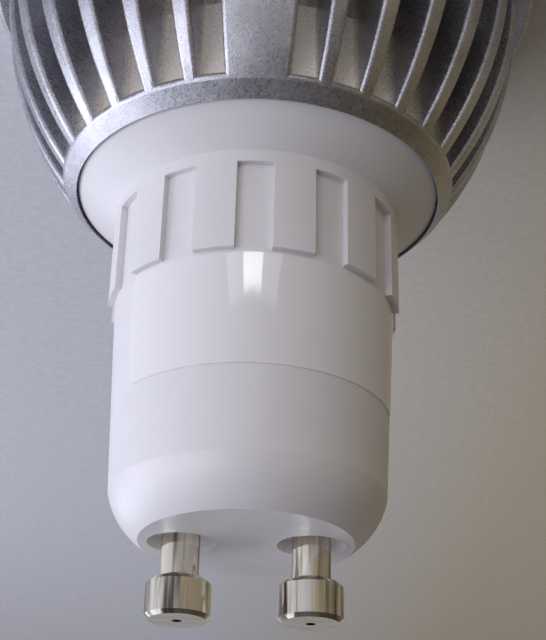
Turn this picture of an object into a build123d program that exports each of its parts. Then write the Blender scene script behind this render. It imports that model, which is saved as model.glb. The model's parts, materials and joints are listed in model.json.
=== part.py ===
from build123d import *
import math
import os

# A reflector lamp with a two-pin twist-lock base: a die-cast finned aluminium heat sink, a white
# moulded base with the driver in it, and three lenses behind a front bezel.
# +Z runs along the axis towards the contact pins, and the bezel's front face lies on Z = 0.

# Whole lamp
LAMP_LENGTH = 61.0
FIT_GAP = 0.15
CUT_OVERRUN = 1.0
RIB_COUNT = 3
FIRST_RIB_ANGLE = -90.0
CROWN_SLOT_ANGLE = -90.0

# Front bezel
BEZEL_RADIUS = 25.0
BEZEL_HEIGHT = 3.8
BEZEL_LIP = 1.2
BEZEL_LAND = 5.3
BEZEL_COVER = 1.4
BEZEL_MOUTH_FLARE = 1.0
BEZEL_FRONT_ROUND = 1.0
BEZEL_BACK_ROUND = 0.6
BEZEL_SCREW_INSET = 3.4
BEZEL_SCREW_RADIUS = 0.8
BEZEL_SCREW_LENGTH = 6.5

# Heat sink
SINK_LENGTH = 20.8
FLANGE_STEP = 1.0
FLANGE_THICKNESS = 1.1
CUP_SHOULDER = 0.7
CUP_DEPTH = 6.2
CUP_WALL = 2.0
CUP_HEEL = 1.2
CUP_HEEL_STEP = 0.4
PLATE_THICKNESS = 2.8
FLANGE_LIP = 0.7
FIN_TAPER = 2.0
FIN_BELLY_HEIGHT = 11.2
NECK_RADIUS = 16.7
NECK_BEVEL = 1.1
NECK_LAND = 0.3
SLOT_RAMP = 0.4
HUB_RADIUS = 16.0
HUB_LENGTH = 8.0
WAIST_RADIUS = 13.6
FINS_PER_BAY = 8
FIN_ANGLE = 4.3
RIB_ANGLE = 17.4
FIN_EDGE_ROUND = 0.35
COLLAR_SEAT_DEPTH = 0.95

# Base housing
COLLAR_RADIUS = 15.4
COLLAR_RIM = 0.7
COLLAR_CONE_HEIGHT = 2.5
CROWN_RADIUS = 12.05
CROWN_HEIGHT = 8.65
CROWN_BAND = 1.05
TOOTH_COUNT = 12
TOOTH_ANGLE = 16.0
BARREL_TOP_RADIUS = 11.5
BARREL_END_RADIUS = 10.85
SHOULDER_HEIGHT = 3.6
SHOULDER_BULGE = 0.3
END_FACE_RADIUS = 8.34
END_WALL = 2.6
HOUSING_WALL = 1.3
SPIGOT_RADIUS = 12.0
SPIGOT_LENGTH = 10.7
RAIL_THICKNESS = 1.0
RAIL_REACH = 1.9
BOSS_RADIUS = 2.2
BOSS_LENGTH = 9.0
BOSS_INSET = 3.4

# Contact pins
PIN_SPACING = 10.0
PIN_FOOT_RADIUS = 2.5
PIN_FOOT_LENGTH = 3.0
PIN_SHANK_RADIUS = 1.5
PIN_PROUD = 6.0
PIN_POCKET_RADIUS = 2.65
PIN_POCKET_DEPTH = 1.0
PIN_EDGE = 0.3
PIN_DIMPLE_RADIUS = 0.38
PIN_DIMPLE_DEPTH = 1.2
PIN_RIVET_RADIUS = 2.1
PIN_RIVET_THICKNESS = 0.6
PIN_TAIL_RADIUS = 0.75
PIN_TAIL_LENGTH = 1.4

# Lenses and their holder
LENS_COUNT = 3
LENS_EDGE_GAP = 2.0
LENS_SPACING = 1.45448
LENS_RIM = 1.5
LENS_RECESS = 0.7
LENS_LEDGE = 0.5
LENS_FLANK_INSET = 0.2
LENS_FLANK_BULGE = 0.5
LENS_FOOT_WALL = 0.9
LENS_WELL_GAP = 0.4
LENS_WELL_DEPTH = 3.3
LENS_WELL_DRAFT = 0.3
LENS_WELL_CROWN = 0.5
LENS_DISH_RADIUS = 3.0
LENS_DISH_DEPTH = 0.5
HOLDER_GAP = 0.1

# Light engine
LED_BOARD_GAP = 0.4
LED_BOARD_THICKNESS = 1.5
PAD_THICKNESS = 0.3
LED_RADIUS = 2.7
LED_BASE = 0.9
LED_DOME_RADIUS = 1.5
BOARD_SCREW_INSET = 4.5
BOARD_SCREW_RADIUS = 0.95
BOARD_SCREW_LENGTH = 3.6
PAN_HEAD_RADIUS = 1.9
PAN_HEAD_HEIGHT = 1.2
PAN_HEAD_BEVEL = 0.3
WIRE_HOLE_RADIUS = 2.4
GROMMET_RADIUS = 2.3
GROMMET_BORE = 1.3
GROMMET_FLANGE_RADIUS = 3.2
GROMMET_FLANGE = 0.6

# Screws between the heat sink and the housing
BASE_SCREW_RADIUS = 1.0
BASE_SCREW_LENGTH = 10.0
CONE_HEAD_RADIUS = 1.9
CONE_HEAD_HEIGHT = 1.1

# Driver
BOARD_WIDTH = 18.4
BOARD_THICKNESS = 1.6
BOARD_FRONT_GAP = 1.8
BOARD_END_GAP = 2.6
ROW_INSET = 1.2
ROW_OVERHANG = 1.6
TRANSFORMER_SHIFT = 0.3
IC_SHIFT = 2.6
CORE_WIDTH = 10.2
CORE_LENGTH = 10.4
CORE_DEPTH = 4.6
CORE_LIMB = 1.6
BOBBIN_FLANGE = 0.8
BOBBIN_STANDOFF = 1.2
BOBBIN_WALL = 0.6
BOBBIN_PLAY = 0.1
WINDING_WIDTH = 6.4
WINDING_BUILD = 1.1
WINDING_ROUND = 0.6
CAN_BEVEL = 0.4
INPUT_CAP_RADIUS = 3.5
INPUT_CAP_LENGTH = 9.6
OUTPUT_CAP_RADIUS = 3.1
OUTPUT_CAP_LENGTH = 11.0
OUTPUT_CAP_OFFSET = 4.8
FILM_CAP_SIZE = (6.6, 3.4, 7.2)
FILM_CAP_OFFSET = -3.9
FILM_CAP_GAP = 2.8
FILM_CAP_BEVEL = 0.3
BRIDGE_SIZE = (4.7, 2.5, 3.9)
BRIDGE_SHIFT = 4.6
IC_SIZE = (4.9, 1.5, 3.9)
CHIP_LEG = 0.5
CHIP_BEVEL = 0.25
INDUCTOR_RADIUS = 3.0
INDUCTOR_LENGTH = 6.4
INDUCTOR_INSET = 6.4
INDUCTOR_FLANGE = 1.0
INDUCTOR_GROOVE = 0.5
INDUCTOR_OFFSET = -4.4
RESISTOR_RADIUS = 1.25
RESISTOR_LENGTH = 6.6
RESISTOR_INSET = 10.8
RESISTOR_OFFSET = 5.4
DIODE_RADIUS = 1.2
DIODE_LENGTH = 4.6
DIODE_INSET = 5.4
DIODE_OFFSET = 4.8
LEAD_RADIUS = 0.3
LEAD_REACH = 1.2
AXIAL_BEVEL = 0.3
WIRE_RADIUS = 0.5
WIRE_BEND = 0.8
WIRE_SPLIT = 0.7
SUPPLY_DROP = 0.7
SUPPLY_CROSSING = 1.5
SUPPLY_LAP = 4.0
LEAD_LAP = 3.0
LEAD_TURN = 0.4
LEAD_PAD_REACH = 1.6

# Radii that follow from the sizes above, from the bezel inwards
HOLDER_RADIUS = BEZEL_RADIUS - BEZEL_LAND
BEZEL_OPENING_RADIUS = HOLDER_RADIUS - BEZEL_COVER
BEZEL_SCREW_CIRCLE = BEZEL_RADIUS - BEZEL_SCREW_INSET
FLANGE_RADIUS = BEZEL_RADIUS - FLANGE_STEP
FIN_TIP_RADIUS = FLANGE_RADIUS - FLANGE_LIP
FIN_BELLY_RADIUS = FIN_TIP_RADIUS - FIN_TAPER
CUP_BORE_RADIUS = HOLDER_RADIUS - CUP_SHOULDER
LED_BOARD_RADIUS = CUP_BORE_RADIUS - LED_BOARD_GAP
BOARD_SCREW_CIRCLE = CUP_BORE_RADIUS - BOARD_SCREW_INSET
BOSS_CIRCLE = SPIGOT_RADIUS - BOSS_INSET

# The lenses fill the cup, with a gap between neighbours and one to the bore
LENS_STEP = 2 * math.sin(math.pi / LENS_COUNT)
LENS_RADIUS = ((CUP_BORE_RADIUS - LENS_EDGE_GAP) * LENS_STEP - LENS_SPACING) / (2 + LENS_STEP)
LENS_CIRCLE = CUP_BORE_RADIUS - LENS_EDGE_GAP - LENS_RADIUS
LENS_WINDOW_RADIUS = LENS_RADIUS - LENS_LEDGE
LENS_WELL_RADIUS = LED_RADIUS + LENS_WELL_GAP
LENS_FOOT_RADIUS = LENS_WELL_RADIUS + LENS_FOOT_WALL

# Heights that follow from the sizes above
SINK_FRONT = BEZEL_HEIGHT
PLATE_FRONT = SINK_FRONT + CUP_DEPTH
PLATE_BACK = PLATE_FRONT + PLATE_THICKNESS
SINK_BACK = SINK_FRONT + SINK_LENGTH
NECK_EDGE = SINK_BACK - NECK_BEVEL
HUB_FRONT = NECK_EDGE - HUB_LENGTH
COLLAR_SEAT = SINK_BACK - COLLAR_SEAT_DEPTH
COLLAR_EDGE = COLLAR_SEAT + COLLAR_RIM
CROWN_TOP = COLLAR_EDGE + COLLAR_CONE_HEIGHT
CROWN_END = CROWN_TOP + CROWN_HEIGHT
END_FACE = LAMP_LENGTH - PIN_PROUD
SHOULDER = END_FACE - SHOULDER_HEIGHT
PIN_FLOOR = END_FACE - PIN_POCKET_DEPTH
CAVITY_END = END_FACE - END_WALL
SPIGOT_END = COLLAR_SEAT - SPIGOT_LENGTH
PAD_FRONT = PLATE_FRONT - PAD_THICKNESS
LED_BOARD_FRONT = PAD_FRONT - LED_BOARD_THICKNESS
LENS_FRONT = BEZEL_LIP + LENS_RECESS
PIN_TAIL_START = CAVITY_END - PIN_RIVET_THICKNESS - PIN_TAIL_LENGTH
BOARD_FACE = BOARD_THICKNESS / 2
BOARD_START = PLATE_BACK + BOARD_FRONT_GAP
BOARD_END = PIN_TAIL_START - BOARD_END_GAP
BOARD_LENGTH = BOARD_END - BOARD_START

# Places along the driver board: output capacitor, transformer and input capacitor share the room
ROW_START = BOARD_START + ROW_INSET
ROW_END = BOARD_END + ROW_OVERHANG
ROW_GAP = (ROW_END - ROW_START - OUTPUT_CAP_LENGTH - CORE_LENGTH - INPUT_CAP_LENGTH) / 2
OUTPUT_CAP_PLACE = ROW_START + OUTPUT_CAP_LENGTH / 2
TRANSFORMER_START = ROW_START + OUTPUT_CAP_LENGTH + ROW_GAP + TRANSFORMER_SHIFT
TRANSFORMER_PLACE = TRANSFORMER_START + CORE_LENGTH / 2
INPUT_CAP_PLACE = ROW_END - INPUT_CAP_LENGTH / 2
FILM_CAP_PLACE = TRANSFORMER_START - FILM_CAP_GAP - FILM_CAP_SIZE[2] / 2
BRIDGE_PLACE = INPUT_CAP_PLACE - BRIDGE_SHIFT
IC_PLACE = TRANSFORMER_PLACE - IC_SHIFT
INDUCTOR_PLACE = BOARD_START + INDUCTOR_INSET
DIODE_PLACE = BOARD_START + DIODE_INSET
RESISTOR_PLACE = BOARD_END - RESISTOR_INSET

# Angles
BAY_ANGLE = 360.0 / RIB_COUNT
FIN_PITCH = BAY_ANGLE / (FINS_PER_BAY + 2)
LENS_ANGLES = [FIRST_RIB_ANGLE + 360.0 / LENS_COUNT * i for i in range(LENS_COUNT)]
BOARD_SCREW_ANGLES = [angle + 180.0 / LENS_COUNT for angle in LENS_ANGLES]
RIB_ANGLES = [FIRST_RIB_ANGLE + BAY_ANGLE * i for i in range(RIB_COUNT)]
BOSS_ANGLES = [90.0, -90.0]
PIN_SIDES = [-1, 1]


def turned(points):
    """A solid turned about the axis from a closed outline of (radius, height) points."""
    return revolve(Plane.XZ * make_face(Polyline(*points, close=True)), Axis.Z)


def disc(radius, low, high, x=0.0, y=0.0):
    """A round disc or rod along Z between two heights."""
    return Pos(x, y, low) * extrude(Circle(radius), high - low)


def bevelled_disc(radius, low, high, edge, x=0.0, y=0.0):
    """A rod along Z with both rims bevelled."""
    outline = [(0, low), (radius - edge, low), (radius, low + edge), (radius, high - edge),
               (radius - edge, high), (0, high)]
    return Pos(x, y, 0) * turned(outline)


def cap_arc(radius, rise, base):
    """Half the section of a shallow dome: from its rim at a radius to its crown on the axis."""
    ball = (radius * radius + rise * rise) / (2 * rise)
    mid_radius = radius / 2
    mid = base + math.sqrt(ball * ball - mid_radius * mid_radius) - (ball - rise)
    return ThreePointArc((radius, base), (mid_radius, mid), (0, base + rise))


def polar(radius, angle):
    """X and Y of a point on a circle about the axis."""
    return radius * math.cos(math.radians(angle)), radius * math.sin(math.radians(angle))


def sector(face, start, span):
    """An outline in the XZ plane swept about the axis from one angle through a span."""
    return Rot(0, 0, start) * revolve(face, Axis.Z, revolution_arc=span)


def cone_head(head_z, x, y, radius, head_radius, head_height, length, grow=0.0):
    """A countersunk screw, or with grow the hole for it, its head face at head_z, going up."""
    outline = [(0, head_z), (head_radius + grow, head_z), (radius + grow, head_z + head_height),
               (radius + grow, head_z + length), (0, head_z + length)]
    return Pos(x, y, 0) * turned(outline)


def block(size, centre):
    """A box of a size about a centre."""
    return Pos(*centre) * Box(*size)


def save(name, shape):
    """Writes one node."""
    shape.label = name
    export_step(shape, f"parts/{name}.step")


def gap_spans():
    """Start angle and span of each slot between neighbouring fins and ribs."""
    spans = []
    for rib_angle in RIB_ANGLES:
        start = rib_angle + RIB_ANGLE / 2
        for fin in range(FINS_PER_BAY):
            centre = rib_angle + FIN_PITCH * (fin + 1.5)
            spans.append((start, centre - FIN_ANGLE / 2 - start))
            start = centre + FIN_ANGLE / 2
        spans.append((start, rib_angle + BAY_ANGLE - RIB_ANGLE / 2 - start))
    return spans


def heat_sink():
    """The one-piece casting: bowl of fins, three wide ribs, cup, plate, hub and neck ring."""
    flange_back = SINK_FRONT + FLANGE_THICKNESS
    cup_radius = CUP_BORE_RADIUS + CUP_WALL
    belly = ThreePointArc(
        (FIN_TIP_RADIUS, flange_back),
        (FIN_BELLY_RADIUS, SINK_FRONT + FIN_BELLY_HEIGHT),
        (NECK_RADIUS, NECK_EDGE),
    )
    seat_rim = COLLAR_RADIUS + FIT_GAP
    outline = Polyline(
        (NECK_RADIUS, NECK_EDGE),
        (NECK_RADIUS - NECK_BEVEL, SINK_BACK),
        (seat_rim, SINK_BACK),
        (seat_rim, COLLAR_SEAT),
        (SPIGOT_RADIUS + FIT_GAP, COLLAR_SEAT),
        (SPIGOT_RADIUS + FIT_GAP, PLATE_BACK),
        (0, PLATE_BACK),
        (0, PLATE_FRONT),
        (CUP_BORE_RADIUS, PLATE_FRONT),
        (CUP_BORE_RADIUS, SINK_FRONT),
        (FLANGE_RADIUS, SINK_FRONT),
        (FLANGE_RADIUS, flange_back),
        (FIN_TIP_RADIUS, flange_back),
    )
    body = revolve(Plane.XZ * make_face([*belly.edges(), *outline.edges()]), Axis.Z)
    outside = FLANGE_RADIUS + CUT_OVERRUN
    slot = Plane.XZ * make_face(Polyline(
        (HUB_RADIUS, NECK_EDGE - NECK_LAND - SLOT_RAMP),
        (outside, NECK_EDGE - NECK_LAND),
        (outside, flange_back),
        (cup_radius, flange_back),
        (cup_radius - CUP_HEEL_STEP, PLATE_BACK - CUP_HEEL),
        (WAIST_RADIUS, PLATE_BACK),
        (WAIST_RADIUS, HUB_FRONT),
        (HUB_RADIUS, HUB_FRONT),
        close=True,
    ))
    body -= [sector(slot, start, span) for start, span in gap_spans()]
    body = fillet(body.edges().filter_by(GeomType.BSPLINE), FIN_EDGE_ROUND)
    holes = [disc(WIRE_HOLE_RADIUS, PLATE_FRONT - CUT_OVERRUN, PLATE_BACK + CUT_OVERRUN)]
    for angle in BOSS_ANGLES:
        x, y = polar(BOSS_CIRCLE, angle)
        holes.append(cone_head(PLATE_FRONT, x, y, BASE_SCREW_RADIUS, CONE_HEAD_RADIUS,
                               CONE_HEAD_HEIGHT, PLATE_THICKNESS + CUT_OVERRUN, FIT_GAP))
    for angle in BOARD_SCREW_ANGLES:
        x, y = polar(BOARD_SCREW_CIRCLE, angle)
        depth = BOARD_SCREW_LENGTH - LED_BOARD_THICKNESS - PAD_THICKNESS + FIT_GAP
        holes.append(disc(BOARD_SCREW_RADIUS, PLATE_FRONT, PLATE_FRONT + depth, x, y))
    for angle in RIB_ANGLES:
        x, y = polar(BEZEL_SCREW_CIRCLE, angle)
        holes.append(disc(BEZEL_SCREW_RADIUS, SINK_FRONT, BEZEL_SCREW_LENGTH + FIT_GAP, x, y))
    return body - holes


def front_bezel():
    """The turned front ring, with a lip over the lens holder and three countersunk holes."""
    outline = make_face(Polyline(
        (BEZEL_OPENING_RADIUS + BEZEL_MOUTH_FLARE, 0),
        (BEZEL_RADIUS, 0),
        (BEZEL_RADIUS, BEZEL_HEIGHT),
        (HOLDER_RADIUS + FIT_GAP, BEZEL_HEIGHT),
        (HOLDER_RADIUS + FIT_GAP, BEZEL_LIP),
        (BEZEL_OPENING_RADIUS, BEZEL_LIP),
        close=True,
    ))
    outline = fillet(outline.vertices().group_by(Axis.X)[-1].sort_by(Axis.Y)[0], BEZEL_FRONT_ROUND)
    outline = fillet(outline.vertices().group_by(Axis.X)[-1].sort_by(Axis.Y)[-1], BEZEL_BACK_ROUND)
    ring = revolve(Plane.XZ * outline, Axis.Z)
    for angle in RIB_ANGLES:
        x, y = polar(BEZEL_SCREW_CIRCLE, angle)
        ring -= cone_head(0, x, y, BEZEL_SCREW_RADIUS, CONE_HEAD_RADIUS, CONE_HEAD_HEIGHT,
                          BEZEL_HEIGHT, FIT_GAP)
    return ring


def bezel_screws():
    """Three countersunk screws through the bezel into the wide ribs."""
    screws = []
    for angle in RIB_ANGLES:
        x, y = polar(BEZEL_SCREW_CIRCLE, angle)
        screws.append(cone_head(0, x, y, BEZEL_SCREW_RADIUS, CONE_HEAD_RADIUS,
                                CONE_HEAD_HEIGHT, BEZEL_SCREW_LENGTH))
    return Compound(children=screws)


def lens_holder():
    """The moulded plate that holds the lenses by their rims."""
    plate = disc(HOLDER_RADIUS, BEZEL_LIP, BEZEL_HEIGHT)
    for angle in LENS_ANGLES:
        x, y = polar(LENS_CIRCLE, angle)
        plate -= disc(LENS_WINDOW_RADIUS, BEZEL_LIP, LENS_FRONT, x, y)
        plate -= disc(LENS_RADIUS + HOLDER_GAP, LENS_FRONT, BEZEL_HEIGHT, x, y)
    return plate


def lens(angle):
    """A total-reflection lens: rim, curved flank, and a well over the emitter."""
    rim_back = LENS_FRONT + LENS_RIM
    flank_top = LENS_WINDOW_RADIUS - LENS_FLANK_INSET
    mid_radius = (flank_top + LENS_FOOT_RADIUS) / 2 + LENS_FLANK_BULGE
    mid_height = (rim_back + LED_BOARD_FRONT) / 2
    flank = ThreePointArc((flank_top, rim_back), (mid_radius, mid_height),
                          (LENS_FOOT_RADIUS, LED_BOARD_FRONT))
    well_top = LED_BOARD_FRONT - LENS_WELL_DEPTH
    well_crown_radius = LENS_WELL_RADIUS - LENS_WELL_DRAFT
    crown = cap_arc(well_crown_radius, LENS_WELL_CROWN, well_top)
    dish = cap_arc(LENS_DISH_RADIUS, LENS_DISH_DEPTH, LENS_FRONT)
    sides = [
        Line((LENS_DISH_RADIUS, LENS_FRONT), (LENS_RADIUS, LENS_FRONT)),
        Line((LENS_RADIUS, LENS_FRONT), (LENS_RADIUS, rim_back)),
        Line((LENS_RADIUS, rim_back), (flank_top, rim_back)),
        Line((LENS_FOOT_RADIUS, LED_BOARD_FRONT), (LENS_WELL_RADIUS, LED_BOARD_FRONT)),
        Line((LENS_WELL_RADIUS, LED_BOARD_FRONT), (well_crown_radius, well_top)),
        Line((0, well_top + LENS_WELL_CROWN), (0, LENS_FRONT + LENS_DISH_DEPTH)),
    ]
    x, y = polar(LENS_CIRCLE, angle)
    outline = make_face([*flank.edges(), *crown.edges(), *dish.edges()] + [side.edge() for side in sides])
    return Pos(x, y, 0) * revolve(Plane.XZ * outline, Axis.Z)


def led_emitter(angle):
    """A power emitter: round base and silicone dome, facing the front."""
    x, y = polar(LENS_CIRCLE, angle)
    base = disc(LED_RADIUS, LED_BOARD_FRONT - LED_BASE, LED_BOARD_FRONT, x, y)
    dome = Pos(x, y, LED_BOARD_FRONT - LED_BASE) * Sphere(LED_DOME_RADIUS)
    return base + (dome - disc(LED_RADIUS, LED_BOARD_FRONT - LED_BASE, LED_BOARD_FRONT + LED_RADIUS, x, y))


def board_holes(low, high):
    """The screw and wire holes that the light engine's board and its pad share."""
    holes = [disc(WIRE_HOLE_RADIUS, low, high)]
    for angle in BOARD_SCREW_ANGLES:
        x, y = polar(BOARD_SCREW_CIRCLE, angle)
        holes.append(disc(BOARD_SCREW_RADIUS + FIT_GAP, low, high, x, y))
    return holes


def led_board():
    """The metal-cored board under the emitters."""
    return disc(LED_BOARD_RADIUS, LED_BOARD_FRONT, PAD_FRONT) - board_holes(LED_BOARD_FRONT, PAD_FRONT)


def thermal_pad():
    """The heat-conducting sheet between board and plate."""
    return disc(LED_BOARD_RADIUS, PAD_FRONT, PLATE_FRONT) - board_holes(PAD_FRONT, PLATE_FRONT)


def board_screws():
    """Three pan-head screws that clamp the light engine to the plate."""
    screws = []
    for angle in BOARD_SCREW_ANGLES:
        x, y = polar(BOARD_SCREW_CIRCLE, angle)
        head = bevelled_disc(PAN_HEAD_RADIUS, LED_BOARD_FRONT - PAN_HEAD_HEIGHT, LED_BOARD_FRONT,
                             PAN_HEAD_BEVEL, x, y)
        shank = disc(BOARD_SCREW_RADIUS, LED_BOARD_FRONT, LED_BOARD_FRONT + BOARD_SCREW_LENGTH, x, y)
        screws.append(head + shank)
    return Compound(children=screws)


def base_screws():
    """Two countersunk screws through the plate into the housing's bosses."""
    screws = []
    for angle in BOSS_ANGLES:
        x, y = polar(BOSS_CIRCLE, angle)
        screws.append(cone_head(PLATE_FRONT, x, y, BASE_SCREW_RADIUS, CONE_HEAD_RADIUS,
                                CONE_HEAD_HEIGHT, BASE_SCREW_LENGTH))
    return Compound(children=screws)


def wire_grommet():
    """The rubber bush in the plate that the two board leads pass through."""
    bush = disc(GROMMET_RADIUS, PLATE_FRONT, PLATE_BACK)
    bush += disc(GROMMET_FLANGE_RADIUS, PLATE_BACK, PLATE_BACK + GROMMET_FLANGE)
    return bush - disc(GROMMET_BORE, PLATE_FRONT, PLATE_BACK + GROMMET_FLANGE)


def base_housing():
    """The white moulding: spigot, collar, crown of teeth, barrel, shoulder and end wall."""
    shoulder_mid = ((BARREL_END_RADIUS + END_FACE_RADIUS) / 2 + SHOULDER_BULGE,
                    (SHOULDER + END_FACE) / 2 + SHOULDER_BULGE)
    shoulder_arc = ThreePointArc((BARREL_END_RADIUS, SHOULDER), shoulder_mid,
                                 (END_FACE_RADIUS, END_FACE))
    outline = Polyline(
        (END_FACE_RADIUS, END_FACE),
        (0, END_FACE),
        (0, CAVITY_END),
        (END_FACE_RADIUS - HOUSING_WALL, CAVITY_END),
        (BARREL_END_RADIUS - HOUSING_WALL, SHOULDER - HOUSING_WALL),
        (SPIGOT_RADIUS - HOUSING_WALL, COLLAR_SEAT),
        (SPIGOT_RADIUS - HOUSING_WALL, SPIGOT_END),
        (SPIGOT_RADIUS, SPIGOT_END),
        (SPIGOT_RADIUS, COLLAR_SEAT),
        (COLLAR_RADIUS, COLLAR_SEAT),
        (COLLAR_RADIUS, COLLAR_EDGE),
        (CROWN_RADIUS, CROWN_TOP),
        (CROWN_RADIUS, CROWN_END),
        (BARREL_TOP_RADIUS, CROWN_END),
        (BARREL_END_RADIUS, SHOULDER),
    )
    body = revolve(Plane.XZ * make_face([*shoulder_arc.edges(), *outline.edges()]), Axis.Z)
    gap = 360.0 / TOOTH_COUNT - TOOTH_ANGLE
    slot = Plane.XZ * make_face(Polyline(
        (BARREL_TOP_RADIUS, CROWN_TOP + CROWN_BAND),
        (CROWN_RADIUS + CUT_OVERRUN, CROWN_TOP + CROWN_BAND),
        (CROWN_RADIUS + CUT_OVERRUN, CROWN_END),
        (BARREL_TOP_RADIUS, CROWN_END),
        close=True,
    ))
    pitch = 360.0 / TOOTH_COUNT
    body -= [sector(slot, CROWN_SLOT_ANGLE - gap / 2 + pitch * i, gap) for i in range(TOOTH_COUNT)]
    inner_radius = SPIGOT_RADIUS - HOUSING_WALL
    for angle in BOSS_ANGLES:
        x, y = polar(BOSS_CIRCLE, angle)
        boss = disc(BOSS_RADIUS, SPIGOT_END, SPIGOT_END + BOSS_LENGTH, x, y)
        body += boss & disc(inner_radius + HOUSING_WALL / 2, SPIGOT_END, COLLAR_SEAT)
        body -= disc(BASE_SCREW_RADIUS, SPIGOT_END, PLATE_FRONT + BASE_SCREW_LENGTH + FIT_GAP, x, y)
    rail_low = BOARD_START
    rail_high = CAVITY_END
    rail_mid = (rail_low + rail_high) / 2
    board_gap = FIT_GAP / 2
    core = turned([(0, rail_low), (inner_radius + HOUSING_WALL / 2, rail_low),
                   (inner_radius + HOUSING_WALL / 2, COLLAR_SEAT),
                   (BARREL_END_RADIUS - HOUSING_WALL / 2, SHOULDER - HOUSING_WALL),
                   (END_FACE_RADIUS - HOUSING_WALL / 2, rail_high), (0, rail_high)])
    for side in PIN_SIDES:
        inner_edge = BOARD_WIDTH / 2 - RAIL_REACH
        width = SPIGOT_RADIUS - inner_edge
        for face in (-1, 1):
            y = face * (BOARD_FACE + board_gap + RAIL_THICKNESS / 2)
            rail = block((width, RAIL_THICKNESS, rail_high - rail_low),
                         (side * (inner_edge + width / 2), y, rail_mid))
            body += rail & core
        x = side * PIN_SPACING / 2
        body -= disc(PIN_POCKET_RADIUS, PIN_FLOOR, END_FACE, x)
        body -= disc(PIN_SHANK_RADIUS, CAVITY_END, PIN_FLOOR, x)
    return body


def contact_pin(side):
    """A turned contact: mushroom foot, shank through the end wall, rivet and solder tail."""
    x = side * PIN_SPACING / 2
    foot_start = LAMP_LENGTH - PIN_FOOT_LENGTH
    outline = [
        (0, PIN_TAIL_START), (PIN_TAIL_RADIUS, PIN_TAIL_START),
        (PIN_TAIL_RADIUS, CAVITY_END - PIN_RIVET_THICKNESS),
        (PIN_RIVET_RADIUS, CAVITY_END - PIN_RIVET_THICKNESS), (PIN_RIVET_RADIUS, CAVITY_END),
        (PIN_SHANK_RADIUS, CAVITY_END), (PIN_SHANK_RADIUS, foot_start - PIN_EDGE),
        (PIN_SHANK_RADIUS + PIN_EDGE, foot_start), (PIN_FOOT_RADIUS - PIN_EDGE, foot_start),
        (PIN_FOOT_RADIUS, foot_start + PIN_EDGE), (PIN_FOOT_RADIUS, LAMP_LENGTH - PIN_EDGE),
        (PIN_FOOT_RADIUS - PIN_EDGE, LAMP_LENGTH), (PIN_DIMPLE_RADIUS, LAMP_LENGTH),
        (PIN_DIMPLE_RADIUS, LAMP_LENGTH - PIN_DIMPLE_DEPTH), (0, LAMP_LENGTH - PIN_DIMPLE_DEPTH),
    ]
    return Pos(x, 0, 0) * turned(outline)


def driver_board():
    """The driver's circuit board, standing on edge between the housing's rails."""
    centre = (0, 0, BOARD_START + BOARD_LENGTH / 2)
    return block((BOARD_WIDTH, BOARD_THICKNESS, BOARD_LENGTH), centre)


def transformer_core():
    """The ferrite: two outer limbs, two yokes and the centre limb, lying on the board."""
    y = BOARD_FACE + BOBBIN_STANDOFF + CORE_DEPTH / 2
    core = block((CORE_WIDTH, CORE_DEPTH, CORE_LENGTH), (0, y, TRANSFORMER_PLACE))
    window_width = (CORE_WIDTH - 3 * CORE_LIMB) / 2
    for side in (-1, 1):
        x = side * (CORE_LIMB + window_width) / 2
        core -= block((window_width, CORE_DEPTH, CORE_LENGTH - 2 * CORE_LIMB), (x, y, TRANSFORMER_PLACE))
    return core


def transformer_bobbin():
    """The coil former: a tube on the centre limb, a flange at each end and feet on the board."""
    y = BOARD_FACE + BOBBIN_STANDOFF + CORE_DEPTH / 2
    window = CORE_LENGTH - 2 * CORE_LIMB
    tube_width = CORE_LIMB + 2 * BOBBIN_WALL
    tube_depth = CORE_DEPTH + 2 * BOBBIN_WALL
    bobbin = block((tube_width, tube_depth, window), (0, y, TRANSFORMER_PLACE))
    flange_width = CORE_WIDTH - 2 * CORE_LIMB - 2 * BOBBIN_PLAY
    foot_height = BOBBIN_STANDOFF
    for end in (-1, 1):
        z = TRANSFORMER_PLACE + end * (window - BOBBIN_FLANGE) / 2
        bobbin += block((flange_width, tube_depth, BOBBIN_FLANGE), (0, y, z))
        bobbin += block((flange_width, foot_height, BOBBIN_FLANGE), (0, BOARD_FACE + foot_height / 2, z))
    return bobbin - block((CORE_LIMB, CORE_DEPTH, window), (0, y, TRANSFORMER_PLACE))


def transformer_winding():
    """The taped coil between the bobbin's flanges."""
    y = BOARD_FACE + BOBBIN_STANDOFF + CORE_DEPTH / 2
    length = CORE_LENGTH - 2 * CORE_LIMB - 2 * BOBBIN_FLANGE
    coil = block((WINDING_WIDTH, CORE_DEPTH + 2 * WINDING_BUILD, length), (0, y, TRANSFORMER_PLACE))
    coil = fillet(coil.edges().filter_by(Axis.Z), WINDING_ROUND)
    tube = (CORE_LIMB + 2 * BOBBIN_WALL, CORE_DEPTH + 2 * BOBBIN_WALL, length)
    return coil - block(tube, (0, y, TRANSFORMER_PLACE))


def can_capacitor(radius, length, place, offset=0.0):
    """An electrolytic can lying along the board, with its rims bevelled."""
    return bevelled_disc(radius, place - length / 2, place + length / 2, CAN_BEVEL,
                         offset, BOARD_FACE + radius)


def film_capacitor():
    """A boxed film capacitor."""
    body = block(FILM_CAP_SIZE, (FILM_CAP_OFFSET, BOARD_FACE + FILM_CAP_SIZE[1] / 2, FILM_CAP_PLACE))
    return chamfer(body.faces().sort_by(Axis.Y)[-1].edges(), FILM_CAP_BEVEL)


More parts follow.
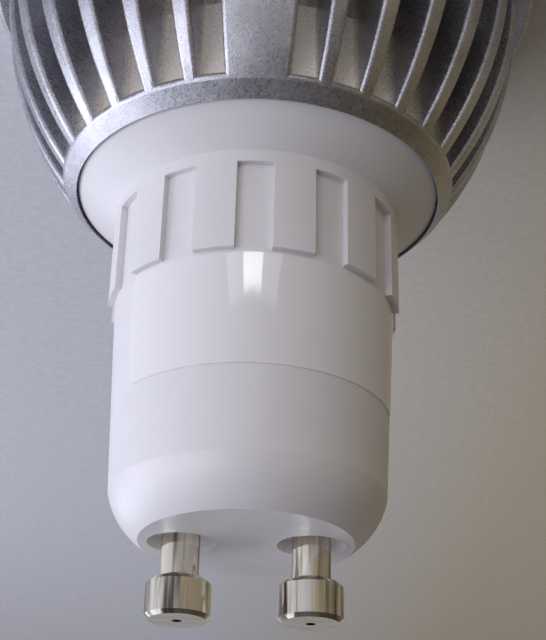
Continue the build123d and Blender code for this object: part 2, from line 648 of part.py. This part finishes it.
def chip(size, place, leg_count):
    """A moulded surface-mount chip with gull legs along its two long sides."""
    width, depth, length = size
    lift = CHIP_LEG / 2
    body = block((width, depth, length), (0, -BOARD_FACE - lift - depth / 2, place))
    body = chamfer(body.faces().sort_by(Axis.Y)[0].edges(), CHIP_BEVEL)
    step = width / leg_count
    for end in (-1, 1):
        for leg in range(leg_count):
            x = (leg - (leg_count - 1) / 2) * step
            z = place + end * (length / 2 + CHIP_LEG / 2)
            rise = lift + depth / 2
            body += block((CHIP_LEG, rise, CHIP_LEG), (x, -BOARD_FACE - rise / 2, z))
    return body


def filter_inductor():
    """A drum-core choke lying along the board: two flanges and the wound waist."""
    low = INDUCTOR_PLACE - INDUCTOR_LENGTH / 2
    high = INDUCTOR_PLACE + INDUCTOR_LENGTH / 2
    waist = INDUCTOR_RADIUS - INDUCTOR_GROOVE
    outline = [(0, low), (INDUCTOR_RADIUS, low), (INDUCTOR_RADIUS, low + INDUCTOR_FLANGE),
               (waist, low + INDUCTOR_FLANGE), (waist, high - INDUCTOR_FLANGE),
               (INDUCTOR_RADIUS, high - INDUCTOR_FLANGE), (INDUCTOR_RADIUS, high), (0, high)]
    return Pos(INDUCTOR_OFFSET, -BOARD_FACE - INDUCTOR_RADIUS, 0) * turned(outline)


def rod_along(points, bend, radius):
    """A round rod along straight runs joined by arcs."""
    path = FilletPolyline(*points, radius=bend)
    start = Plane(path @ 0, z_dir=path % 0)
    return sweep(start * Circle(radius), path=path)


def axial_part(radius, length, place, offset):
    """A leaded part lying on the board's rear face, its leads bent down to the board."""
    y = -BOARD_FACE - radius
    body = bevelled_disc(radius, place - length / 2, place + length / 2, AXIAL_BEVEL, offset, y)
    for end in (-1, 1):
        root = place + end * length / 2
        bend_at = root + end * LEAD_REACH
        points = [(offset, y, root), (offset, y, bend_at), (offset, -BOARD_FACE, bend_at)]
        body += rod_along(points, 2 * LEAD_RADIUS, LEAD_RADIUS)
    return body


def supply_wire(side):
    """From a pin's solder tail to the board's rear face."""
    x = side * PIN_SPACING / 2
    face_y = -BOARD_FACE - WIRE_RADIUS
    turn = PIN_TAIL_START - SUPPLY_DROP
    points = [(x, 0, PIN_TAIL_START), (x, 0, turn), (x, face_y, turn - SUPPLY_CROSSING),
              (x, face_y, BOARD_END - SUPPLY_LAP)]
    return rod_along(points, WIRE_BEND, WIRE_RADIUS)


def lead_wire(side):
    """From the driver board's front face, through the grommet, to a pad on the light engine."""
    x = side * WIRE_SPLIT
    face_y = BOARD_FACE + WIRE_RADIUS
    pad_z = LED_BOARD_FRONT - WIRE_RADIUS
    points = [(x, face_y, BOARD_START + LEAD_LAP), (x, face_y, BOARD_START + LEAD_TURN),
              (x, 0, PLATE_BACK + GROMMET_FLANGE), (x, 0, pad_z),
              (side * (WIRE_HOLE_RADIUS + LEAD_PAD_REACH), 0, pad_z)]
    return rod_along(points, WIRE_BEND, WIRE_RADIUS)


def build_all():
    """Every node by name."""
    nodes = {
        "heat_sink": heat_sink(),
        "front_bezel": front_bezel(),
        "bezel_screws": bezel_screws(),
        "lens_holder": lens_holder(),
        "led_board": led_board(),
        "thermal_pad": thermal_pad(),
        "board_screws": board_screws(),
        "base_screws": base_screws(),
        "wire_grommet": wire_grommet(),
        "base_housing": base_housing(),
        "contact_pin_left": contact_pin(-1),
        "contact_pin_right": contact_pin(1),
        "driver_board": driver_board(),
        "transformer_core": transformer_core(),
        "transformer_bobbin": transformer_bobbin(),
        "transformer_winding": transformer_winding(),
        "input_capacitor": can_capacitor(INPUT_CAP_RADIUS, INPUT_CAP_LENGTH, INPUT_CAP_PLACE),
        "output_capacitor": can_capacitor(OUTPUT_CAP_RADIUS, OUTPUT_CAP_LENGTH, OUTPUT_CAP_PLACE,
                                          OUTPUT_CAP_OFFSET),
        "film_capacitor": film_capacitor(),
        "bridge_rectifier": chip(BRIDGE_SIZE, BRIDGE_PLACE, 2),
        "control_ic": chip(IC_SIZE, IC_PLACE, 4),
        "filter_inductor": filter_inductor(),
        "fusible_resistor": axial_part(RESISTOR_RADIUS, RESISTOR_LENGTH, RESISTOR_PLACE, RESISTOR_OFFSET),
        "output_diode": axial_part(DIODE_RADIUS, DIODE_LENGTH, DIODE_PLACE, DIODE_OFFSET),
        "live_wire": supply_wire(-1),
        "neutral_wire": supply_wire(1),
        "led_wire_positive": lead_wire(1),
        "led_wire_negative": lead_wire(-1),
    }
    for index, angle in enumerate(LENS_ANGLES, start=1):
        nodes[f"lens_{index}"] = lens(angle)
        nodes[f"led_emitter_{index}"] = led_emitter(angle)
    return nodes


os.makedirs("parts", exist_ok=True)
for node_name, node_shape in build_all().items():
    save(node_name, node_shape)
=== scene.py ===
import json
import math

import bpy
from mathutils import Matrix, Vector


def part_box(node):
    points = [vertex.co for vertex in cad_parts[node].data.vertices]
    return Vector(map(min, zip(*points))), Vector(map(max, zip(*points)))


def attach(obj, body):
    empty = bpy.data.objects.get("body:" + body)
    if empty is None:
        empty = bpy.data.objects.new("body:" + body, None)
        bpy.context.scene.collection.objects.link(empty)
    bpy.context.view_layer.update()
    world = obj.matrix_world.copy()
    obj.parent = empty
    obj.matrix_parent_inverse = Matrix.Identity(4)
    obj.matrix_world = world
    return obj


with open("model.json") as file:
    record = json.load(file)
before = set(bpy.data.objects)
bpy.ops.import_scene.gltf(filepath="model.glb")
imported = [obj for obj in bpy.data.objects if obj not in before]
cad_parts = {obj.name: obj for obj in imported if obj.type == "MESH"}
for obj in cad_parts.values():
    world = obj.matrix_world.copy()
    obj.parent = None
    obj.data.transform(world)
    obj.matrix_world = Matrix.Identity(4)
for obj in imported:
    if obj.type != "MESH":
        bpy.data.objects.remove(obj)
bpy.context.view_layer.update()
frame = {"nodes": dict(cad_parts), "record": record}

# Lengths and places are in metres, with the small ones written in millimetres
MM = 0.001
ROOT = "root"

# Camera: the lamp seen from beyond its pins and from the wide rib's side, pins at the image's bottom
IMAGE_WIDTH = 546
FOCAL_PIXELS = 1360.8
SENSOR_WIDTH_IN_MM = 36.0
CAMERA_PLACE = Vector((-1.60, -100.73, 86.83)) * MM
CAMERA_TARGET = Vector((-1.62, 0.0, 35.64)) * MM
CAMERA_ROLL = math.radians(-178.55)
CAMERA_NEAR = 5.0 * MM
CAMERA_FAR = 20.0

# The casting's hub, at the bottom of the gaps between its fins, up to the neck ring. Its colour there is
# paler and less metallic, painted light for the bright gap floors, and turns into the fins' paint outwards
# and upwards.
HUB_RADIUS = 16.0 * MM
HUB_END_Z = 22.8 * MM
HUB_FADE_START = 0.1 * MM
HUB_FADE_END = 0.9 * MM
HUB_FADE_UP = 0.3 * MM

# The barrel that the clear patch lies on, and the patch. Angles run from -Y towards the image's right.
BARREL_TOP_Z = 35.5 * MM
BARREL_TOP_RADIUS = 11.5 * MM
BARREL_END_Z = 51.4 * MM
BARREL_END_RADIUS = 10.85 * MM
FILM_START_Z = 35.75 * MM
FILM_END_Z = 44.8 * MM
FILM_START_ANGLE = math.radians(-56)
FILM_END_ANGLE = math.radians(84)
FILM_CORNER = 0.9 * MM
FILM_GAP = 0.01 * MM
FILM_THICKNESS = 0.05 * MM
FILM_COLUMNS = 96

# The countersunk screws in the front ring, and dark solid crosses in their heads, painted shade for the
# cross recesses
SCREW_CIRCLE = 21.6 * MM
SCREW_ANGLES = [math.radians(angle) for angle in (-90, 30, 150)]
RECESS_REACH = 1.05 * MM
RECESS_HALF_WIDTH = 0.21 * MM
RECESS_PROUD = 0.01 * MM
RECESS_DEPTH = 0.12 * MM

# The floor, just under the lamp. Painted shade and warm room light darken its right; it turns cool and pale
# to its left.
FLOOR_GAP = 0.05 * MM
FLOOR_HALF_WIDTH = 3.0
FLOOR_PAINTED_SHADE_X = -50.0 * MM
FLOOR_UNSHADED_X = 20.0 * MM

# Linear tones of the light, and black to mix into a colour
BLACK = (0.0, 0.0, 0.0, 1.0)
WHITE = (1.0, 1.0, 1.0)
WINDOW_TONE = (0.91, 0.94, 1.06)
FRONT_TONE = (0.93, 0.94, 1.02)
SKY_TONE = (0.70, 0.74, 0.88, 1.0)
ROOM_TONE = (0.225, 0.178, 0.09, 1.0)
BEYOND_FLOOR_TONE = (0.50, 0.50, 0.53, 1.0)

# The point that most lights are aimed at, and the power of each small pane in watts
LIT_MIDDLE = (0.0, 0.0, 0.035)
PANE_POWER = 0.0075

# Roughness of the inner parts that have no finish of their own here
GLOSSY_ROUGHNESS = 0.35
MATT_ROUGHNESS = 0.7

# The colour mix node's sockets: its inputs for the factor and two colours, and its output
MIX_FACTOR, MIX_FIRST, MIX_SECOND, MIX_RESULT = 0, 6, 7, 2


def add_object(name, data):
    """An object with this data, in the scene."""
    made = bpy.data.objects.new(name, data)
    bpy.context.collection.objects.link(made)
    return made


def add_mesh(name, points, faces, material):
    """A mesh object in one material."""
    mesh = bpy.data.meshes.new(name)
    mesh.from_pydata(points, [], faces)
    mesh.materials.append(material)
    return add_object(name, mesh)


def add_camera():
    """The photograph's camera, as fitted to the lamp's circles."""
    data = bpy.data.cameras.new("camera")
    data.sensor_fit = "HORIZONTAL"
    data.sensor_width = SENSOR_WIDTH_IN_MM
    data.lens = data.sensor_width * FOCAL_PIXELS / IMAGE_WIDTH
    data.clip_start = CAMERA_NEAR
    data.clip_end = CAMERA_FAR
    camera = add_object("camera", data)
    forward = (CAMERA_TARGET - CAMERA_PLACE).normalized()
    level = forward.cross(Vector((0, 0, 1))).normalized()
    up = level.cross(forward)
    right = level * math.cos(CAMERA_ROLL) + up * math.sin(CAMERA_ROLL)
    up = right.cross(forward)
    axes = Matrix((right, up, -forward)).transposed()
    camera.matrix_world = Matrix.Translation(CAMERA_PLACE) @ axes.to_4x4()
    bpy.context.scene.camera = camera


def colour(red, green, blue):
    """A linear colour from the 0 to 255 values that it shows as."""
    def linear(value):
        value /= 255.0
        return value / 12.92 if value <= 0.04045 else ((value + 0.055) / 1.055) ** 2.4
    return linear(red), linear(green), linear(blue), 1.0


def scaled(tone, factor):
    """A colour made darker or brighter."""
    return tuple(channel * factor for channel in tone[:3]) + (1.0,)


class Nodes:
    """One node tree, with the point or direction that it shades as its place."""

    def __init__(self, tree, space):
        self.tree = tree
        self.place = self.add("ShaderNodeTexCoord").outputs[space]

    def add(self, kind, **inputs):
        """Adds a node; inputs are values or sockets by input name, with spaces as underscores."""
        node = self.tree.nodes.new(kind)
        self.feed_all(node, inputs)
        return node

    def feed_all(self, node, inputs):
        """Feeds a node's inputs by name."""
        for key, value in inputs.items():
            self.feed(node.inputs[key.replace("_", " ")], value)

    def feed(self, socket, value):
        """Links a socket, or sets its value."""
        if isinstance(value, bpy.types.NodeSocket):
            self.tree.links.new(value, socket)
        else:
            socket.default_value = value

    def axis(self, letter, vector=None):
        """One axis of a vector, or else of the place."""
        source = self.place if vector is None else vector
        return self.add("ShaderNodeSeparateXYZ", Vector=source).outputs[letter]

    def stretched(self, factors):
        """The place, with each axis times its own factor."""
        node = self.add("ShaderNodeVectorMath", Vector=self.place)
        node.operation = "MULTIPLY"
        node.inputs[1].default_value = factors
        return node.outputs["Vector"]

    def length(self, vector):
        """The length of a vector."""
        node = self.add("ShaderNodeVectorMath", Vector=vector)
        node.operation = "LENGTH"
        return node.outputs["Value"]

    def noise(self, scale, detail=4.0, rough=0.6, vector=None):
        """Noise over the place or another vector, its scale in waves per metre."""
        source = self.place if vector is None else vector
        node = self.add("ShaderNodeTexNoise", Vector=source, Scale=scale, Detail=detail, Roughness=rough)
        return node.outputs["Fac"]

    def speckle(self, scale):
        """A random value for each small cell, its scale in cells per metre."""
        return self.add("ShaderNodeTexVoronoi", Vector=self.place, Scale=scale).outputs["Color"]

    def ramp(self, factor, low, high, start=0.0, end=1.0):
        """A value that runs from low to high as factor goes from start to end."""
        node = self.add("ShaderNodeMapRange", Value=factor, From_Min=start, From_Max=end,
                        To_Min=low, To_Max=high)
        return node.outputs["Result"]

    def blend(self, factor, first, second):
        """A colour between two colours."""
        node = self.tree.nodes.new("ShaderNodeMix")
        node.data_type = "RGBA"
        self.feed(node.inputs[MIX_FACTOR], factor)
        self.feed(node.inputs[MIX_FIRST], first)
        self.feed(node.inputs[MIX_SECOND], second)
        return node.outputs[MIX_RESULT]

    def mottled(self, cloud, tone, factor):
        """A colour that is scaled by the factor where the cloud is low."""
        return self.blend(cloud, scaled(tone, factor), tone)

    def times(self, first, second):
        """The product of two values."""
        node = self.add("ShaderNodeMath")
        node.operation = "MULTIPLY"
        self.feed(node.inputs[0], first)
        self.feed(node.inputs[1], second)
        return node.outputs["Value"]


class Surface(Nodes):
    """A new material and its surface shader."""

    def __init__(self, name):
        self.material = bpy.data.materials.new(name)
        self.material.use_nodes = True
        super().__init__(self.material.node_tree, "Object")
        self.bsdf = self.tree.nodes["Principled BSDF"]

    def set(self, **inputs):
        """Sets inputs of the surface shader."""
        self.feed_all(self.bsdf, inputs)

    def set_gloss(self, scale, low, high, start=0.0, end=1.0):
        """Roughness that wanders from low to high with noise."""
        self.set(Roughness=self.ramp(self.noise(scale), low, high, start, end))

    def set_bump(self, height, depth, strength):
        """Bump of a real depth in metres."""
        node = self.add("ShaderNodeBump", Height=height, Distance=depth, Strength=strength)
        self.set(Normal=node.outputs["Normal"])


class Sky(Nodes):
    """The world's node tree and its background, with the direction looked in as the place."""

    def __init__(self, world):
        super().__init__(world.node_tree, "Generated")
        self.background = self.tree.nodes["Background"]


def painted_hub_light_mask(shader):
    """A factor that is 1 at the casting's hub, and 0 further out or up; it masks the painted light on the
    gap floors.
    """
    from_axis = shader.length(shader.stretched((1.0, 1.0, 0.0)))
    inside = shader.ramp(from_axis, 1.0, 0.0, HUB_RADIUS + HUB_FADE_START, HUB_RADIUS + HUB_FADE_END)
    below = shader.ramp(shader.axis("Z"), 1.0, 0.0, HUB_END_Z, HUB_END_Z + HUB_FADE_UP)
    return shader.times(inside, below)


def silver_paint(name, light, dark):
    """Satin silver paint over a casting: fine bright and dark grain, paler and less metallic at the hub as
    painted light.
    """
    shader = Surface(name)
    cloud = shader.ramp(shader.noise(260.0, detail=3.0), 0.25, 0.75, start=0.3, end=0.7)
    grain = shader.ramp(shader.speckle(7600.0), 0.0, 1.0, start=0.15, end=0.95)
    fins_tone = shader.blend(shader.ramp(grain, 0.0, 0.45), shader.blend(cloud, dark, light), light)
    # Painted light: the hub is paler and less metallic, standing in for the light on the gap floors.
    hub_painted_light_tone = colour(236, 230, 220)
    hub = painted_hub_light_mask(shader)
    shader.set(Base_Color=shader.blend(hub, fins_tone, hub_painted_light_tone))
    shader.set(Metallic=shader.ramp(hub, 0.92, 0.25), Roughness=shader.ramp(grain, 0.24, 0.44))
    shader.set_bump(shader.noise(3200.0, detail=5.0, rough=0.8), depth=0.06 * MM, strength=0.5)
    return shader.material


def white_moulding(name, tone, rough_low, rough_high):
    """Moulded white plastic, slightly translucent, with a faint spark-eroded skin."""
    shader = Surface(name)
    cloud = shader.ramp(shader.noise(140.0, detail=3.0), 0.0, 1.0, start=0.35, end=0.65)
    shader.set(Base_Color=shader.mottled(cloud, tone, 0.965))
    shader.set(Subsurface_Weight=0.08, Subsurface_Scale=0.8 * MM)
    shader.set_gloss(900.0, rough_low, rough_high, start=0.3, end=0.7)
    shader.set_bump(shader.noise(2200.0, detail=3.0), depth=0.02 * MM, strength=0.35)
    return shader.material


def clear_film(name, tone):
    """Clear glossy film laid on the white plastic, a little wavy."""
    shader = Surface(name)
    shader.set(Base_Color=tone, Roughness=0.06, IOR=1.50)
    shader.set_bump(shader.noise(420.0, detail=2.0), depth=0.01 * MM, strength=0.4)
    return shader.material


def bright_metal(name, tone, rough):
    """Plated metal with faint turning marks and uneven gloss."""
    shader = Surface(name)
    cloud = shader.ramp(shader.noise(700.0), 0.0, 1.0, start=0.4, end=0.6)
    shader.set(Base_Color=shader.mottled(cloud, tone, 0.82), Metallic=1.0)
    shader.set_gloss(1500.0, rough * 0.7, rough * 1.4, start=0.3, end=0.7)
    shader.set_bump(shader.noise(900.0, detail=2.0), depth=0.03 * MM, strength=0.25)
    return shader.material


def nickel_with_painted_reflections(name, tone, painted_reflection_tone):
    """Bright nickel plate with marks drawn along the pin whose dark streaks are painted reflections, and
    painted shade up top.
    """
    shader = Surface(name)
    drawn = shader.stretched((1.0, 1.0, 0.06))
    # The dark streaks are painted reflections; the same marks also give the pin's bump.
    marks_and_painted_reflections = shader.noise(620.0, detail=3.0, rough=0.65, vector=drawn)
    sides_with_painted_reflections = shader.blend(shader.ramp(marks_and_painted_reflections, 0.0, 1.0, start=0.49, end=0.62), tone, painted_reflection_tone)
    normal = shader.add("ShaderNodeNewGeometry").outputs["Normal"]
    # Painted shade: faces that point up are darker.
    painted_shade_upward = shader.ramp(shader.axis("Z", normal), 0.0, 1.0, start=0.6, end=0.9)
    shader.set(Base_Color=shader.blend(painted_shade_upward, sides_with_painted_reflections, scaled(tone, 0.5)), Metallic=1.0)
    shader.set_gloss(1500.0, 0.07, 0.20, start=0.3, end=0.7)
    shader.set_bump(marks_and_painted_reflections, depth=0.12 * MM, strength=0.6)
    return shader.material


def plain_moulding(name, tone, rough, metallic=0.0):
    """A moulded, lacquered or sintered inner part with a little unevenness."""
    shader = Surface(name)
    shader.set(Base_Color=shader.mottled(shader.noise(500.0), tone, 0.85), Metallic=metallic)
    shader.set_gloss(900.0, rough * 0.85, rough * 1.15)
    shader.set_bump(shader.noise(1500.0), depth=0.03 * MM, strength=0.4)
    return shader.material


def clear_moulding(name):
    """Clear lens plastic."""
    shader = Surface(name)
    shader.set(Base_Color=(0.97, 0.98, 0.99, 1.0), Transmission_Weight=1.0, IOR=1.49)
    shader.set_gloss(400.0, 0.02, 0.06)
    return shader.material


def floor_finish():
    """Matt pale floor, finely grained, with painted shade in a darker warm tone on the image's right, cool
    on its left.
    """
    shader = Surface("floor")
    # Painted shade and light: the floor is darker and warmer towards the image's right.
    side = shader.ramp(shader.axis("X"), 0.0, 1.0, FLOOR_PAINTED_SHADE_X, FLOOR_UNSHADED_X)
    plain = shader.blend(side, colour(216, 203, 176), colour(234, 234, 240))
    darker = shader.blend(0.90, BLACK, plain)
    grain = shader.ramp(shader.noise(900.0, detail=3.0, rough=0.8), 0.0, 1.0, start=0.35, end=0.65)
    shader.set(Base_Color=shader.blend(grain, darker, plain), Roughness=0.85)
    return shader.material


def paint_nodes():
    """Gives every CAD node its material, and returns the materials by name."""
    white = colour(226, 223, 226)
    materials = {
        "cast_aluminium": silver_paint("cast_aluminium", colour(207, 206, 213), colour(132, 131, 140)),
        "bezel_aluminium": silver_paint("bezel_aluminium", colour(206, 205, 212), colour(132, 131, 140)),
        "white_plastic": white_moulding("white_plastic", white, 0.34, 0.46),
        "label_film": clear_film("label_film", scaled(white, 1.06)),
        "nickel": nickel_with_painted_reflections("nickel", colour(250, 244, 228), colour(112, 104, 88)),
        "screw_steel": bright_metal("screw_steel", colour(190, 190, 188), 0.30),
        # Painted shade: the crosses' dark colour stands in for the shade in the screws' recesses.
        "recess_dark": plain_moulding("recess_dark", colour(52, 52, 54), 0.5, metallic=0.6),
        "clear_lens": clear_moulding("clear_lens"),
        "holder_plastic": white_moulding("holder_plastic", colour(225, 225, 226), 0.45, 0.55),
    }
    for entry in frame["record"]["materials"]:
        if entry["slot"] not in materials:
            tone = (*entry["base_color"][:3], 1.0)
            rough = GLOSSY_ROUGHNESS if entry["class"] == "gloss_plastic" else MATT_ROUGHNESS
            materials[entry["slot"]] = plain_moulding(entry["slot"], tone, rough)
    for part in frame["record"]["subparts"]:
        node = frame["nodes"][part["node"]]
        node.data.materials.clear()
        node.data.materials.append(materials[part["material_slot"]])
    return materials


def barrel_point(angle, z, height):
    """A point a little above the tapered barrel, at an angle from -Y towards the image's right."""
    share = (z - BARREL_TOP_Z) / (BARREL_END_Z - BARREL_TOP_Z)
    radius = BARREL_TOP_RADIUS + (BARREL_END_RADIUS - BARREL_TOP_RADIUS) * share + height
    return -radius * math.sin(angle), -radius * math.cos(angle), z


def corner_inset(distance):
    """How far a rounded corner draws the edge in, at a distance from the end."""
    if distance >= FILM_CORNER:
        return 0.0
    return FILM_CORNER - math.sqrt(FILM_CORNER ** 2 - (FILM_CORNER - distance) ** 2)


def add_label_film(material):
    """The bare clear patch round the barrel, a thin closed sheet with rounded corners.

    Its columns lie closer towards the rounded ends. The outer skin has points of its own, so that it is
    shaded smooth while the thin edges stay sharp.
    """
    span = FILM_END_ANGLE - FILM_START_ANGLE
    outside = FILM_GAP + FILM_THICKNESS
    loops, skin = [], []
    for column in range(FILM_COLUMNS + 1):
        share = (1 - math.cos(math.pi * column / FILM_COLUMNS)) / 2
        angle = FILM_START_ANGLE + span * share
        inset = corner_inset(min(share, 1 - share) * span * BARREL_TOP_RADIUS)
        low, high = FILM_START_Z + inset, FILM_END_Z - inset
        outer = [barrel_point(angle, high, outside), barrel_point(angle, low, outside)]
        loops += [barrel_point(angle, low, FILM_GAP), barrel_point(angle, high, FILM_GAP)] + outer
        skin += outer
    faces, skin_start = [], len(loops)
    for column in range(FILM_COLUMNS):
        here, there, outer = 4 * column, 4 * column + 4, skin_start + 2 * column
        faces += [(here + side, here + (side + 1) % 4, there + (side + 1) % 4, there + side)
                  for side in (0, 1, 3)]
        faces.append((outer, outer + 1, outer + 3, outer + 2))
    last = 4 * FILM_COLUMNS
    faces += [(3, 2, 1, 0), (last, last + 1, last + 2, last + 3)]
    film = add_mesh("label_film", loops + skin, faces, material)
    film.data.polygons.foreach_set("use_smooth", [min(face) >= skin_start for face in faces])
    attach(film, ROOT)


def cross_outline():
    """The twelve corners of a screw head's cross recess, three for each quarter turn."""
    reach, half = RECESS_REACH, RECESS_HALF_WIDTH
    quarter = [(reach, -half), (reach, half), (half, half)]
    outline = []
    for _ in range(4):
        outline += quarter
        quarter = [(-y, x) for x, y in quarter]
    return outline


def add_painted_recess_shades(material):
    """Dark solid crosses set into the front ring's screw heads, just proud of them, painted shade for the
    cross recesses.
    """
    face_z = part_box("bezel_screws")[0][2]
    outline = cross_outline()
    count = len(outline)
    points, faces = [], []
    for angle in SCREW_ANGLES:
        x, y = SCREW_CIRCLE * math.cos(angle), SCREW_CIRCLE * math.sin(angle)
        first = len(points)
        second = first + count
        for z in (face_z - RECESS_PROUD, face_z + RECESS_DEPTH):
            points += [(x + px, y + py, z) for px, py in outline]
        faces.append(list(reversed(range(first, second))))
        faces.append(list(range(second, second + count)))
        for i in range(count):
            following = (i + 1) % count
            faces.append((first + i, first + following, second + following, second + i))
    recess_shades = add_mesh("screw_recess_painted_shades", points, faces, material)
    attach(recess_shades, ROOT)


def add_stage():
    """A plain pale floor that runs back past the camera's view."""
    half = FLOOR_HALF_WIDTH
    corners = [(x, y, -FLOOR_GAP) for x, y in ((-half, -half), (half, -half), (half, half), (-half, half))]
    floor = add_mesh("floor", corners, [(0, 1, 2, 3)], floor_finish())


def add_area_light(name, place, size, power, tone, target=LIT_MIDDLE):
    """A soft rectangular light aimed at a point, its power in watts."""
    data = bpy.data.lights.new(name, "AREA")
    data.shape = "RECTANGLE"
    data.size, data.size_y = size
    data.energy = power
    data.color = tone
    light = add_object(name, data)
    light.location = place
    aim = Vector(target) - Vector(place)
    light.rotation_euler = aim.to_track_quat("-Z", "Y").to_euler()
    return light


def add_pane(name, place, size):
    """A small light near the floor in front of the barrel, shining straight up and not seen itself."""
    x, y, _ = place
    light = add_area_light(name, place, size, PANE_POWER, WHITE, target=(x, y, 1.0))
    light.visible_camera = False


def add_sky():
    """Cool daylight from the image's left, which is +X, and a dim warm room on the other side.

    The camera sees a plain grey instead, where it looks past the floor.
    """
    world = bpy.data.worlds.new("world")
    bpy.context.scene.world = world
    world.use_nodes = True
    sky = Sky(world)
    side = sky.ramp(sky.axis("X"), 0.0, 1.0, start=-0.75, end=0.85)
    up = sky.axis("Z")
    window_side = sky.ramp(up, 1.0, 0.18, start=0.38, end=0.85)
    room_side = sky.ramp(up, 1.40, 0.24, start=0.05, end=0.55)
    tone = sky.blend(side, ROOM_TONE, SKY_TONE)
    sky.feed_all(sky.background, {"Color": tone, "Strength": sky.ramp(side, room_side, window_side)})
    plain = sky.add("ShaderNodeBackground", Color=BEYOND_FLOOR_TONE, Strength=1.0)
    shown = sky.add("ShaderNodeMixShader")
    factor, otherwise, to_camera = shown.inputs
    sky.feed(factor, sky.add("ShaderNodeLightPath").outputs["Is Camera Ray"])
    sky.feed(otherwise, sky.background.outputs["Background"])
    sky.feed(to_camera, plain.outputs["Background"])
    sky.feed(sky.tree.nodes["World Output"].inputs["Surface"], shown.outputs["Shader"])


def add_lights():
    """Soft window light from the image's left and the front, and panes that the clear patch reflects."""
    add_area_light("window", place=(0.60, -0.03, 0.18), size=(0.40, 0.30), power=1.20, tone=WINDOW_TONE)
    add_area_light("window_high", place=(0.41, 0.06, 0.37), size=(0.34, 0.34), power=0.33, tone=WINDOW_TONE)
    add_area_light("window_front", place=(0.40, -0.48, 0.26), size=(0.40, 0.30), power=1.08, tone=FRONT_TONE)
    add_area_light("window_low", place=(0.17, 0.12, 0.10), size=(0.10, 0.10), power=0.07, tone=WINDOW_TONE,
                   target=(0.01, 0.03, 0.01))
    add_pane("pane", place=(0.0, -0.082, 0.004), size=(0.056, 0.022))
    add_pane("pane_spot", place=(0.001, -0.0835, 0.0045), size=(0.020, 0.013))


add_camera()
materials = paint_nodes()
add_label_film(materials["label_film"])
add_painted_recess_shades(materials["recess_dark"])
add_stage()
add_sky()
add_lights()
bpy.context.scene.view_settings.view_transform = "Standard"
